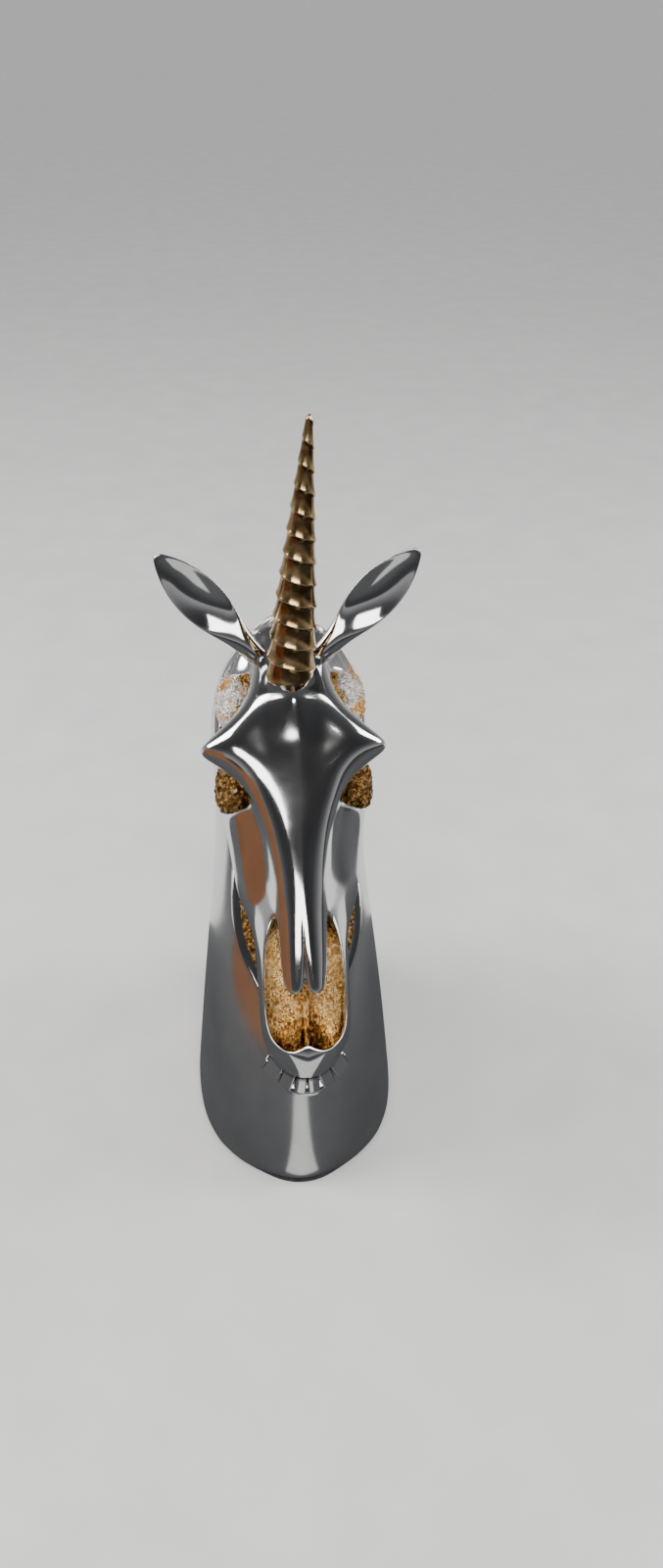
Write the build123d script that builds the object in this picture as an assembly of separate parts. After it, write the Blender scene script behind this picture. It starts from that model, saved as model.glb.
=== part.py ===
from build123d import *
import os
from math import cos, pi, radians, sin, tan

# A unicorn bust, in millimetres and degrees. The bust stands on z = 0 with the middle of its base at
# the origin. The face looks along -Y, +X is at the viewer's right and +Z is up.

# Fits shared by all pieces
FIT_CLEARANCE = 0.2
DOWEL_END_ROOM = 0.5
CUT_OVERRUN = 30.0

# Neck, base plate and sole
BASE_WIDTH = 88.0
BASE_LENGTH = 136.0
NECK_HEIGHT = 219.0
NECK_WALL = 6.0
NECK_CAVITY_HEIGHT = 100.0
PLATE_THICKNESS = 3.0
PLATE_RIM = 3.0
SOLE_THICKNESS = 1.5
SOLE_INSET = 2.0

# Front half of a neck section, from the keel to the widest place: share of half width, share of length
NECK_OUTLINE_SHARES = ((0.38, 0.045), (0.72, 0.14), (0.94, 0.29))
NECK_WIDEST_SHARE = 0.47
NECK_STEPS = 3

# Neck sections: share of neck height, front and back as shares of base length, half width as a share
# of half the base width
NECK_SECTION_SHARES = (
    (0.00, -0.500, 0.500, 1.00),
    (0.16, -0.455, 0.515, 0.92),
    (0.32, -0.350, 0.520, 0.83),
    (0.48, -0.170, 0.505, 0.73),
    (0.63, -0.095, 0.465, 0.69),
    (0.80, -0.070, 0.375, 0.70),
    (0.92, -0.010, 0.270, 0.54),
    (1.00, 0.080, 0.185, 0.22),
)

# Joint between head and neck: a plane that leans back, above a level throat ledge
JOINT_SETBACK = 19.0
JOINT_LEAN = 17.0
THROAT_HEIGHT = 112.0

# Head, placed at the horn seat on the forehead
HORN_SEAT_HEIGHT = 208.0
FACE_SLOPE = 44.0
HEAD_LENGTH = 148.0
HEAD_DEPTH = 66.0
BROW_WIDTH = 64.0

# Head sections: share of head length, then the half outline from the top to the underside, each point
# as a share of half the brow width and a share of the head depth
HEAD_SECTION_SHARES = (
    (-0.18, (0, -0.135), (0.22, -0.15), (0.375, -0.23), (0.53, -0.36), (0.53, -0.61), (0, -0.82)),
    (-0.095, (0, -0.023), (0.28, -0.053), (0.47, -0.15), (0.655, -0.335), (0.625, -0.67), (0, -0.91)),
    (0.00, (0, -0.015), (0.375, -0.045), (0.595, -0.15), (0.81, -0.335), (0.72, -0.70), (0, -0.97)),
    (0.11, (0, -0.023), (0.50, -0.06), (0.72, -0.167), (0.875, -0.35), (0.75, -0.73), (0, -1.00)),
    (0.205, (0, -0.03), (0.625, -0.075), (0.81, -0.167), (0.89, -0.335), (0.75, -0.73), (0, -1.00)),
    (0.325, (0, -0.023), (0.41, -0.06), (0.69, -0.18), (0.83, -0.335), (0.655, -0.70), (0, -0.94)),
    (0.445, (0, -0.023), (0.31, -0.06), (0.56, -0.197), (0.765, -0.365), (0.56, -0.667), (0, -0.865)),
    (0.58, (0, -0.045), (0.28, -0.075), (0.47, -0.197), (0.655, -0.365), (0.42, -0.62), (0, -0.80)),
    (0.715, (0, -0.09), (0.30, -0.115), (0.405, -0.197), (0.50, -0.32), (0.32, -0.58), (0, -0.74)),
    (0.845, (0, -0.105), (0.36, -0.12), (0.455, -0.197), (0.47, -0.335), (0.30, -0.58), (0, -0.71)),
    (0.935, (0, -0.135), (0.345, -0.15), (0.42, -0.23), (0.42, -0.365), (0.28, -0.58), (0, -0.68)),
    (1.00, (0, -0.27), (0.25, -0.28), (0.33, -0.32), (0.33, -0.395), (0.23, -0.555), (0, -0.63)),
)

# Forehead plate: half outline from the poll to the nose, as shares of head length and half brow width
FOREHEAD_FOOT_DEPTH = 11.0
FOREHEAD_SHARES = ((-0.06, 0.30), (0.03, 0.40), (0.12, 0.66), (0.195, 1.00), (0.24, 0.86), (0.35, 0.38))
# Crown of the plate: share of head length and share of head depth on the middle line, and the drop of
# the crown at the edge of a blank that is a share wider than the brow
CROWN_SHARES = (
    (-0.12, -0.07),
    (-0.015, -0.025),
    (0.05, 0.018),
    (0.105, 0.066),
    (0.165, 0.078),
    (0.23, 0.066),
    (0.34, 0.04),
    (0.42, 0.02),
)
CROWN_DROP = 11.0
CROWN_WIDTH_SHARE = 1.15

# Nasal bone: share of head length, share of half brow width, share of head depth at the top
NASAL_THICKNESS = 6.0
NASAL_SECTION_SHARES = (
    (0.20, 0.36, 0.000),
    (0.39, 0.33, 0.006),
    (0.58, 0.28, 0.000),
    (0.71, 0.245, -0.012),
    (0.77, 0.20, -0.035),
)
NASAL_NOTCH_WIDTH = 2.4
NASAL_NOTCH_LENGTH = 5.0

# Nasal basin: half outline as shares of head length and half brow width, and the depth of its floor
BASIN_FLOOR_DEPTH = 19.0
BASIN_SHARES = ((0.60, 0.24), (0.70, 0.33), (0.80, 0.355), (0.88, 0.33), (0.915, 0.20))
LINING_FLOOR_THICKNESS = 3.0
LOBE_RADIUS = 6.0
LOBE_SPACING = 10.6

# Bite: the upper jaw ends and the lower jaw begins at two slightly spread planes
BITE_UPPER_DEPTH = 24.0
BITE_UPPER_SLOPE = 8.4
BITE_LOWER_DEPTH = 34.0
BITE_LOWER_SLOPE = 5.0
CORE_INSET = 2.0
CORE_FRONT_ROOM = 19.0

# Lower jaw sections: share of head length, half width at the bite and lower down as shares of half the
# brow width, then the heights of the lower width and of the underside as shares of head depth
JAW_SECTION_SHARES = (
    (0.20, 0.56, 0.54, -0.78, -0.97),
    (0.30, 0.64, 0.62, -0.77, -0.94),
    (0.42, 0.75, 0.64, -0.76, -0.88),
    (0.51, 0.79, 0.625, -0.75, -0.842),
    (0.60, 0.79, 0.58, -0.72, -0.80),
    (0.70, 0.67, 0.475, -0.68, -0.755),
    (0.76, 0.55, 0.40, -0.66, -0.735),
    (0.825, 0.42, 0.325, -0.64, -0.71),
    (0.905, 0.345, 0.27, -0.62, -0.68),
    (0.96, 0.295, 0.22, -0.595, -0.65),
    (1.00, 0.22, 0.16, -0.565, -0.62),
)
JAW_BLANK_SHARE = -0.45

# Incisors on an arc round the front of the jaws
TEETH_PER_ROW = 6
TOOTH_WIDTH = 3.9
TOOTH_DEPTH = 3.4
UPPER_TOOTH_LENGTH = 5.2
TOOTH_TIP_CLEARANCE = 0.4
TOOTH_LEAN = 3.0
TOOTH_ARC_WIDTH = 19.0
TOOTH_ARC_DEPTH = 11.0
TOOTH_ARC_SETBACK = 3.4
TOOTH_ARC_ANGLE = 64.0
TOOTH_TIP_DEPTH_SHARE = 0.6

# Eye sockets and temples: place on the head, facing direction and the outline of the pocket
EYE_ACROSS = 26.0
EYE_ALONG = 41.0
EYE_DEPTH = 15.0
EYE_LENGTH = 18.0
EYE_WIDTH = 13.0
EYE_FACING = 24.0
EYE_TILT = 0.0
TEMPLE_ACROSS = 22.5
TEMPLE_ALONG = 10.5
TEMPLE_DEPTH = 14.0
TEMPLE_LENGTH = 20.0
TEMPLE_WIDTH = 13.0
TEMPLE_FACING = 35.0
TEMPLE_TILT = -38.0
POCKET_DEPTH = 6.0
INLAY_CROWN = 3.0

# Horn
HORN_LENGTH = 90.0
HORN_BASE_DIAMETER = 17.4
HORN_TIP_DIAMETER = 2.4
HORN_SINK = 10.0
HORN_LEAN_BACK = 5.0
HORN_LEAN_SIDE = 4.5
HORN_TURNS = 11
HORN_TAPER_POWER = 1.4
HORN_RIDGE_SHARE = 0.11
HORN_STATIONS_PER_TURN = 8
HORN_POINTS = 14
STUD_DIAMETER = 5.0
STUD_LENGTH = 26.0

# Ears
EAR_ROOT_ACROSS = 13.0
EAR_ROOT_ALONG = -8.0
EAR_ROOT_DEPTH = 6.0
EAR_ROOT_DIAMETER = 8.6
EAR_SINK = 4.0
EAR_LENGTH = 49.0
EAR_WIDTH = 17.0
EAR_THICKNESS = 9.0
EAR_SPREAD = 42.0
EAR_LEAN_BACK = 2.0
EAR_DOWEL_DIAMETER = 3.0
EAR_DOWEL_LENGTH = 12.0
# Ear sections: share of ear length, share of ear width, share of ear thickness
EAR_SECTION_SHARES = (
    (0.22, 0.52, 0.86),
    (0.42, 0.92, 1.00),
    (0.66, 1.00, 0.90),
    (0.88, 0.58, 0.55),
    (1.00, 0.12, 0.16),
)
# Scoop of the ear: share of ear length, share of ear width, share of ear thickness
EAR_SCOOP_SHARES = ((0.34, 0.30, 0.45), (0.50, 0.66, 0.80), (0.68, 0.76, 0.78), (0.90, 0.36, 0.40))
EAR_SCOOP_SHIFT_SHARE = 0.48

# Dowels between the neck and the head pieces
DOWEL_DIAMETER = 6.0
DOWEL_LENGTH = 22.0
SKULL_DOWEL_HEIGHT = 180.0
SKULL_DOWEL_SPACING = 20.0
JAW_DOWEL_HEIGHT = 128.0
JAW_DOWEL_SPACING = 16.0

HALF_BROW = BROW_WIDTH / 2
FACE_AXIS = Vector(0, -cos(radians(FACE_SLOPE)), -sin(radians(FACE_SLOPE)))
FACE_NORMAL = Vector(0, -sin(radians(FACE_SLOPE)), cos(radians(FACE_SLOPE)))
HORN_SEAT = Vector(0, 0, HORN_SEAT_HEIGHT)
JOINT_NORMAL = Vector(0, -cos(radians(JOINT_LEAN)), sin(radians(JOINT_LEAN)))
JOINT_PLANE = Plane(
    origin=HORN_SEAT + Vector(0, JOINT_SETBACK, 0), x_dir=(1, 0, 0), z_dir=JOINT_NORMAL
)


def head_point(across, along, above):
    """Place in the head: across to the viewer's right, along the face from the horn, above the face."""
    return HORN_SEAT + Vector(across, 0, 0) + FACE_AXIS * along + FACE_NORMAL * above


def head_plane(along):
    """Plane square to the face line, with local y standing out of the face."""
    return Plane(origin=head_point(0, along, 0), x_dir=(1, 0, 0), z_dir=FACE_AXIS)


def face_plane(above):
    """Plane along the face line, with local y running up the face."""
    return Plane(origin=head_point(0, 0, above), x_dir=(1, 0, 0), z_dir=FACE_NORMAL)


def half_outline_face(points):
    """Closed face from a half outline that starts and ends on the middle line."""
    right = Spline(*points, tangents=[(1, 0), (-1, 0)])
    left = mirror(right, about=Plane.YZ)
    return make_face([right, left])


def neck_outline(front, back, half_width):
    """One neck section in its own plane, from the keel at the front to the crest at the back."""
    length = back - front
    widest = front + NECK_WIDEST_SHARE * length
    points = [(0, front)]
    points += [(x * half_width, front + y * length) for x, y in NECK_OUTLINE_SHARES]
    points += [(half_width, widest)]
    chest = Spline(*points, tangents=[(1, 0), (0, 1)])
    crest = EllipticalCenterArc((0, widest), half_width, back - widest)
    edges = [chest, crest, mirror(crest, about=Plane.YZ), mirror(chest, about=Plane.YZ)]
    return make_face(edges)


def base_outline(inset):
    """Outline of the base, drawn in by an inset."""
    half_length = BASE_LENGTH / 2 - inset
    return neck_outline(-half_length, half_length, BASE_WIDTH / 2 - inset)


def eased(before, start, end, after, share):
    """A value between two others, on the smooth cubic that also heeds their neighbours."""
    slope = (end - before) / 2
    next_slope = (after - start) / 2
    lift = end - start
    square = 3 * lift - 2 * slope - next_slope
    cube = slope + next_slope - 2 * lift
    return start + slope * share + square * share**2 + cube * share**3


def smooth_rows(rows, steps):
    """Rows of shares with smooth rows set between them."""
    last = len(rows) - 1
    dense = []
    for index in range(last):
        near = [rows[min(max(index + step, 0), last)] for step in (-1, 0, 1, 2)]
        for step in range(steps):
            dense.append([eased(*column, step / steps) for column in zip(*near)])
    return dense + [rows[last]]


def neck_loft(inset, top):
    """The neck form, drawn in by an inset, through the sections up to a height."""
    rise = NECK_HEIGHT - SOLE_THICKNESS
    faces = []
    for height, front, back, width in smooth_rows(NECK_SECTION_SHARES, NECK_STEPS):
        level = SOLE_THICKNESS + height * rise
        if level > top:
            break
        outline = neck_outline(
            front * BASE_LENGTH + inset, back * BASE_LENGTH - inset, width * BASE_WIDTH / 2 - inset
        )
        faces.append(Plane.XY.offset(level) * outline)
    return loft(faces)


def head_loft():
    """The form of the head that the skull is cut from."""
    faces = []
    for along, *outline in HEAD_SECTION_SHARES:
        points = [(across * HALF_BROW, above * HEAD_DEPTH) for across, above in outline]
        faces.append(head_plane(along * HEAD_LENGTH) * half_outline_face(points))
    return loft(faces)


def jaw_loft():
    """The form of the lower jaw, with a flat blank top above the bite."""
    faces = []
    top = JAW_BLANK_SHARE * HEAD_DEPTH
    for along, edge, side, middle, bottom in JAW_SECTION_SHARES:
        corner = (edge * HALF_BROW, top)
        rim = (edge * HALF_BROW, -bite_depth(BITE_LOWER_DEPTH, BITE_LOWER_SLOPE, along * HEAD_LENGTH))
        flank = (side * HALF_BROW, middle * HEAD_DEPTH)
        right = Spline(corner, rim, flank, (0, bottom * HEAD_DEPTH), tangents=[(0, -1), (-1, 0)])
        left = mirror(right, about=Plane.YZ)
        lid = Line((-edge * HALF_BROW, top), corner)
        faces.append(head_plane(along * HEAD_LENGTH) * make_face([lid, right, left]))
    return loft(faces)


def bite_plane(depth, slope):
    """A bite plane: at its depth at the front of the jaws, falling away from the face backwards."""
    turn = radians(slope)
    normal = FACE_NORMAL * cos(turn) - FACE_AXIS * sin(turn)
    return Plane(origin=head_point(0, HEAD_LENGTH, -depth), x_dir=(1, 0, 0), z_dir=normal)


UPPER_BITE = bite_plane(BITE_UPPER_DEPTH, BITE_UPPER_SLOPE)
LOWER_BITE = bite_plane(BITE_LOWER_DEPTH, BITE_LOWER_SLOPE)


def bite_depth(depth, slope, along):
    """Depth of a bite plane under the face line at a station."""
    return depth + (HEAD_LENGTH - along) * tan(radians(slope))


def in_front(shape):
    """The part of a shape on the face side of the joint plane."""
    return split(shape, bisect_by=JOINT_PLANE, keep=Keep.TOP)


def pin(plane, diameter, below, above):
    """A round pin square to a plane, from below it to above it."""
    return extrude(plane.offset(-below) * Circle(diameter / 2), below + above)


def pin_with_bore(plane, diameter, length):
    """A dowel centred on a plane, and the bore that takes it."""
    half = length / 2
    dowel = pin(plane, diameter, half, half)
    room = half + DOWEL_END_ROOM
    bore = pin(plane, diameter + FIT_CLEARANCE, room, room)
    return dowel, bore


def joint_dowels(height, spacing):
    """A pair of dowels through the joint plane at a height, with their bores."""
    run = (height - JOINT_PLANE.origin.Z) / cos(radians(JOINT_LEAN))
    pairs = []
    for side in (-1, 1):
        place = JOINT_PLANE.from_local_coords(Vector(side * spacing / 2, run, 0))
        plane = Plane(origin=place, x_dir=(1, 0, 0), z_dir=JOINT_NORMAL)
        pairs.append(pin_with_bore(plane, DOWEL_DIAMETER, DOWEL_LENGTH))
    return pairs


def pocket_plane(across, along, depth, facing, side):
    """Plane of an inlay on the side of the head, facing outwards and up by an angle."""
    turn = radians(facing)
    outward = Vector(side * cos(turn), 0, 0) + FACE_NORMAL * sin(turn)
    return Plane(origin=head_point(side * across, along, -depth), x_dir=FACE_AXIS * side, z_dir=outward)


def inlay_and_pocket(plane, length, width, tilt):
    """A crowned elliptical inlay on the floor of a straight pocket, and the pocket itself."""
    floor = plane.offset(-POCKET_DEPTH)
    pocket = extrude(floor * Rot(Z=tilt) * Ellipse(length / 2, width / 2), POCKET_DEPTH + CUT_OVERRUN)
    inner_length = length / 2 - FIT_CLEARANCE
    inner_width = width / 2 - FIT_CLEARANCE
    height = POCKET_DEPTH + INLAY_CROWN
    blank = extrude(floor * Rot(Z=tilt) * Ellipse(inner_length, inner_width), height)
    crown_radius = (inner_length**2 + INLAY_CROWN**2) / (2 * INLAY_CROWN)
    ball = floor.offset(height - crown_radius) * Sphere(crown_radius)
    return blank & ball, pocket


def eye_pair(side):
    """Eye inlay and pocket of one side."""
    plane = pocket_plane(EYE_ACROSS, EYE_ALONG, EYE_DEPTH, EYE_FACING, side)
    return inlay_and_pocket(plane, EYE_LENGTH, EYE_WIDTH, side * EYE_TILT)


def temple_pair(side):
    """Temple inlay and pocket of one side, ending at the joint with the neck."""
    plane = pocket_plane(TEMPLE_ACROSS, TEMPLE_ALONG, TEMPLE_DEPTH, TEMPLE_FACING, side)
    inlay, pocket = inlay_and_pocket(plane, TEMPLE_LENGTH, TEMPLE_WIDTH, side * TEMPLE_TILT)
    return in_front(inlay), pocket


HORN_AXIS = Vector(
    sin(radians(HORN_LEAN_SIDE)),
    sin(radians(HORN_LEAN_BACK)),
    cos(radians(HORN_LEAN_SIDE)) * cos(radians(HORN_LEAN_BACK)),
).normalized()
HORN_PLANE = Plane(origin=HORN_SEAT - HORN_AXIS * HORN_SINK, x_dir=(1, 0, 0), z_dir=HORN_AXIS)


def horn_radius(height):
    """Plain radius of the horn at a height above its foot."""
    share = max(height - HORN_SINK, 0) / HORN_LENGTH
    foot = HORN_BASE_DIAMETER / 2
    tip = HORN_TIP_DIAMETER / 2
    return tip + (foot - tip) * (1 - share**HORN_TAPER_POWER)


def horn_section(height):
    """One section of the horn: a round whose single ridge turns with the height."""
    turns = HORN_TURNS * height / (HORN_SINK + HORN_LENGTH)
    points = []
    for index in range(HORN_POINTS):
        share = index / HORN_POINTS
        groove = 1 - abs(sin(pi * (share + turns)))
        radius = horn_radius(height) * (1 - HORN_RIDGE_SHARE * groove**2)
        angle = 2 * pi * share
        points.append((radius * cos(angle), radius * sin(angle)))
    middle = HORN_POINTS // 2
    front = Spline(*points[: middle + 1])
    back = Spline(*points[middle:], points[0])
    return make_face([front, back])


def make_horn():
    """The spiral horn on its flat foot."""
    count = HORN_TURNS * HORN_STATIONS_PER_TURN
    length = HORN_SINK + HORN_LENGTH
    heights = [length * index / count for index in range(count + 1)]
    upright = loft([Plane.XY.offset(height) * horn_section(height) for height in heights])
    return HORN_PLANE * upright


def horn_socket():
    """The round socket in the forehead that takes the horn's foot."""
    radius = HORN_BASE_DIAMETER / 2 + FIT_CLEARANCE
    return extrude(HORN_PLANE * Circle(radius), HORN_SINK + CUT_OVERRUN)


def ear_plane(side):
    """Plane at the ear's root, square to the ear, with local x across the ear."""
    spread = radians(EAR_SPREAD)
    lean = radians(EAR_LEAN_BACK)
    axis = Vector(side * sin(spread), cos(spread) * sin(lean), cos(spread) * cos(lean))
    across = Vector(0, -1, 0).cross(axis)
    root = head_point(side * EAR_ROOT_ACROSS, EAR_ROOT_ALONG, -EAR_ROOT_DEPTH)
    return Plane(origin=root, x_dir=across, z_dir=axis)


def make_ear(side):
    """A leaf-shaped ear on a round stem, hollowed at the front."""
    plane = ear_plane(side)
    stem = plane.offset(-EAR_SINK) * Circle(EAR_ROOT_DIAMETER / 2)
    faces = [stem, plane * Circle(EAR_ROOT_DIAMETER / 2)]
    for along, width, thickness in EAR_SECTION_SHARES:
        outline = Ellipse(width * EAR_WIDTH / 2, thickness * EAR_THICKNESS / 2)
        faces.append(plane.offset(along * EAR_LENGTH) * outline)
    shift = EAR_SCOOP_SHIFT_SHARE * EAR_THICKNESS
    hollows = []
    for along, width, thickness in EAR_SCOOP_SHARES:
        outline = Pos(Y=shift) * Ellipse(width * EAR_WIDTH / 2, thickness * EAR_THICKNESS / 2)
        hollows.append(plane.offset(along * EAR_LENGTH) * outline)
    return loft(faces) - loft(hollows)


def ear_socket(side):
    """The round socket in the skull that takes an ear's stem."""
    radius = EAR_ROOT_DIAMETER / 2 + FIT_CLEARANCE
    return extrude(ear_plane(side).offset(-EAR_SINK) * Circle(radius), EAR_SINK + EAR_ROOT_DIAMETER)


def forehead_plate():
    """The crowned diamond plate of the forehead with its brow corners."""
    right = [(across * HALF_BROW, -along * HEAD_LENGTH) for along, across in FOREHEAD_SHARES]
    left = [(-x, y) for x, y in reversed(right)]
    outline = make_face(Polyline(*right, *left, close=True))
    prism = extrude(face_plane(-FOREHEAD_FOOT_DEPTH) * outline, FOREHEAD_FOOT_DEPTH + CUT_OVERRUN)
    half = CROWN_WIDTH_SHARE * HALF_BROW
    faces = []
    for along, above in CROWN_SHARES:
        top = above * HEAD_DEPTH
        arc = ThreePointArc((-half, top - CROWN_DROP), (0, top), (half, top - CROWN_DROP))
        foot = Polyline(arc @ 1, (half, -HEAD_DEPTH), (-half, -HEAD_DEPTH), arc @ 0)
        faces.append(head_plane(along * HEAD_LENGTH) * make_face([arc, *foot.edges()]))
    return prism & loft(faces)


def nasal_bone():
    """The nasal bone: a half-round bar over the basin, split at its tip."""
    faces = []
    for along, across, above in NASAL_SECTION_SHARES:
        half = across * HALF_BROW
        top = above * HEAD_DEPTH
        foot = top - NASAL_THICKNESS
        arc = ThreePointArc((-half, foot), (0, top), (half, foot))
        faces.append(head_plane(along * HEAD_LENGTH) * make_face([arc, Line((half, foot), (-half, foot))]))
    bar = loft(faces)
    tip = NASAL_SECTION_SHARES[-1][0] * HEAD_LENGTH
    slot = Pos(Y=-tip) * Rectangle(NASAL_NOTCH_WIDTH, 2 * NASAL_NOTCH_LENGTH)
    return bar - extrude(face_plane(-HEAD_DEPTH) * slot, 2 * HEAD_DEPTH)


def basin_outline(inset):
    """Outline of the nasal basin on the face, drawn in by an inset."""
    right = [(across * HALF_BROW - inset, -along * HEAD_LENGTH) for along, across in BASIN_SHARES]
    left = [(-x, y) for x, y in reversed(right)]
    return make_face(Polyline(*right, *left, close=True))


def basin_pocket():
    """The open nasal basin."""
    return extrude(face_plane(-BASIN_FLOOR_DEPTH) * basin_outline(0), BASIN_FLOOR_DEPTH + CUT_OVERRUN)


def make_nasal_lining():
    """The two-lobed lining on the floor of the basin."""
    prism = extrude(face_plane(-BASIN_FLOOR_DEPTH) * basin_outline(FIT_CLEARANCE), BASIN_FLOOR_DEPTH)
    floor = extrude(face_plane(-BASIN_FLOOR_DEPTH) * basin_outline(FIT_CLEARANCE), LINING_FLOOR_THICKNESS)
    lining = floor
    for side in (-1, 1):
        place = Pos(X=side * LOBE_SPACING / 2, Y=LINING_FLOOR_THICKNESS - BASIN_FLOOR_DEPTH)
        lobe = extrude(head_plane(0) * place * Circle(LOBE_RADIUS), 2 * HEAD_LENGTH)
        lining = lining + (lobe & prism)
    return lining


def tooth_length(along, upper):
    """Length of a tooth: a lower one takes what the upper one leaves of the gap."""
    if upper:
        return UPPER_TOOTH_LENGTH
    gap = bite_depth(BITE_LOWER_DEPTH, BITE_LOWER_SLOPE, along)
    gap -= bite_depth(BITE_UPPER_DEPTH, BITE_UPPER_SLOPE, along)
    return gap - UPPER_TOOTH_LENGTH - TOOTH_TIP_CLEARANCE


def tooth_row(plane_depth, plane_slope, bite, upper):
    """Teeth on an arc, standing on a bite plane and leaning forward."""
    teeth = []
    for index in range(TEETH_PER_ROW):
        share = 2 * index / (TEETH_PER_ROW - 1) - 1
        angle = radians(share * TOOTH_ARC_ANGLE)
        across = TOOTH_ARC_WIDTH / 2 * sin(angle)
        along = HEAD_LENGTH - TOOTH_ARC_SETBACK - TOOTH_ARC_DEPTH * (1 - cos(angle))
        foot = head_point(across, along, -bite_depth(plane_depth, plane_slope, along))
        row_angle = angle * TOOTH_ARC_DEPTH / TOOTH_ARC_WIDTH
        side_way = Vector(cos(row_angle), 0, 0) - FACE_AXIS * sin(row_angle)
        flat = side_way - bite.z_dir * side_way.dot(bite.z_dir)
        root = Plane(origin=foot, x_dir=flat, z_dir=bite.z_dir * (-1 if upper else 1))
        length = tooth_length(along, upper)
        ahead = FACE_AXIS - bite.z_dir * FACE_AXIS.dot(bite.z_dir)
        tip = Plane(origin=foot + root.z_dir * length + ahead * TOOTH_LEAN, x_dir=flat, z_dir=root.z_dir)
        wide = Ellipse(TOOTH_WIDTH / 2, TOOTH_DEPTH / 2)
        thin = Ellipse(TOOTH_WIDTH / 2, TOOTH_DEPTH / 2 * TOOTH_TIP_DEPTH_SHARE)
        teeth.append(loft([root * wide, tip * thin]))
    return Compound(children=teeth)


def make_neck_shell(bores):
    """The hollow neck, cut back to the joint plane above the throat ledge."""
    form = neck_loft(0, NECK_HEIGHT)
    throat = Plane.XY.offset(THROAT_HEIGHT)
    lower = split(form, bisect_by=throat, keep=Keep.BOTTOM)
    upper = split(form, bisect_by=throat, keep=Keep.TOP)
    shell = lower + split(upper, bisect_by=JOINT_PLANE, keep=Keep.BOTTOM)
    shell -= neck_loft(NECK_WALL, NECK_CAVITY_HEIGHT)
    shell -= extrude(Plane.XY.offset(SOLE_THICKNESS) * base_outline(PLATE_RIM), PLATE_THICKNESS)
    for bore in bores:
        shell -= bore
    return shell


def make_skull(cutters):
    """The face casting above the bite, with its plate, nasal bone, pockets and sockets."""
    upper = split(in_front(head_loft()), bisect_by=UPPER_BITE, keep=Keep.TOP)
    skull = upper - basin_pocket()
    skull = skull + in_front(forehead_plate()) + nasal_bone()
    for cutter in cutters:
        skull -= cutter
    return skull


def make_lower_jaw(bores):
    """The lower jaw casting below the bite."""
    jaw = split(in_front(jaw_loft()), bisect_by=LOWER_BITE, keep=Keep.BOTTOM)
    for bore in bores:
        jaw -= bore
    return jaw


def make_mouth_core():
    """The core that joins the jaws, drawn in behind the edge of the lower jaw."""
    edge = [(row[1] * HALF_BROW - CORE_INSET, -row[0] * HEAD_LENGTH) for row in JAW_SECTION_SHARES]
    right = Spline(*edge)
    left = mirror(right, about=Plane.YZ)
    ends = [Line((-x, y), (x, y)) for x, y in (edge[0], edge[-1])]
    outline = make_face([right, left, *ends])
    core = in_front(extrude(face_plane(-HEAD_DEPTH) * outline, HEAD_DEPTH))
    core = split(core, bisect_by=UPPER_BITE, keep=Keep.BOTTOM)
    core = split(core, bisect_by=LOWER_BITE, keep=Keep.TOP)
    return split(core, bisect_by=head_plane(HEAD_LENGTH - CORE_FRONT_ROOM), keep=Keep.BOTTOM)


def make_base_plate():
    """The plate that closes the neck, flush in its rebate."""
    outline = base_outline(PLATE_RIM + FIT_CLEARANCE)
    return extrude(Plane.XY.offset(SOLE_THICKNESS) * outline, PLATE_THICKNESS)


def make_rubber_sole():
    """The thin sole under the base."""
    return extrude(Plane.XY * base_outline(SOLE_INSET), SOLE_THICKNESS)


skull_dowels = joint_dowels(SKULL_DOWEL_HEIGHT, SKULL_DOWEL_SPACING)
jaw_dowels = joint_dowels(JAW_DOWEL_HEIGHT, JAW_DOWEL_SPACING)
stud, stud_bore = pin_with_bore(HORN_PLANE, STUD_DIAMETER, STUD_LENGTH)
ears = {}
ear_pins = []
for name, side in (("left", -1), ("right", 1)):
    ear_foot = ear_plane(side).offset(-EAR_SINK)
    ear_pin, ear_bore = pin_with_bore(ear_foot, EAR_DOWEL_DIAMETER, EAR_DOWEL_LENGTH)
    ear_pins.append((ear_pin, ear_bore))
    ears[name] = make_ear(side) - ear_bore
eyes = {"left": eye_pair(-1), "right": eye_pair(1)}
temples = {"left": temple_pair(-1), "right": temple_pair(1)}

skull_cutters = [bore for dowel, bore in skull_dowels]
skull_cutters += [bore for dowel, bore in ear_pins]
skull_cutters += [pocket for inlay, pocket in (*eyes.values(), *temples.values())]
skull_cutters += [horn_socket(), stud_bore, ear_socket(-1), ear_socket(1)]

pieces = {
    "neck_shell": make_neck_shell([bore for dowel, bore in skull_dowels + jaw_dowels]),
    "skull": make_skull(skull_cutters),
    "lower_jaw": make_lower_jaw([bore for dowel, bore in jaw_dowels]),
    "mouth_core": make_mouth_core(),
    "horn": make_horn() - stud_bore,
    "horn_stud": stud,
    "ear_left": ears["left"],
    "ear_right": ears["right"],
    "ear_dowels": Compound(children=[dowel for dowel, bore in ear_pins]),
    "upper_incisors": tooth_row(BITE_UPPER_DEPTH, BITE_UPPER_SLOPE, UPPER_BITE, True),
    "lower_incisors": tooth_row(BITE_LOWER_DEPTH, BITE_LOWER_SLOPE, LOWER_BITE, False),
    "nasal_lining": make_nasal_lining(),
    "eye_inlay_left": eyes["left"][0],
    "eye_inlay_right": eyes["right"][0],
    "temple_inlay_left": temples["left"][0],
    "temple_inlay_right": temples["right"][0],
    "neck_dowels": Compound(children=[dowel for dowel, bore in skull_dowels]),
    "jaw_dowels": Compound(children=[dowel for dowel, bore in jaw_dowels]),
    "base_plate": make_base_plate(),
    "rubber_sole": make_rubber_sole(),
}

os.makedirs("parts", exist_ok=True)
for node, piece in pieces.items():
    export_step(piece, f"parts/{node}.step")
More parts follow.
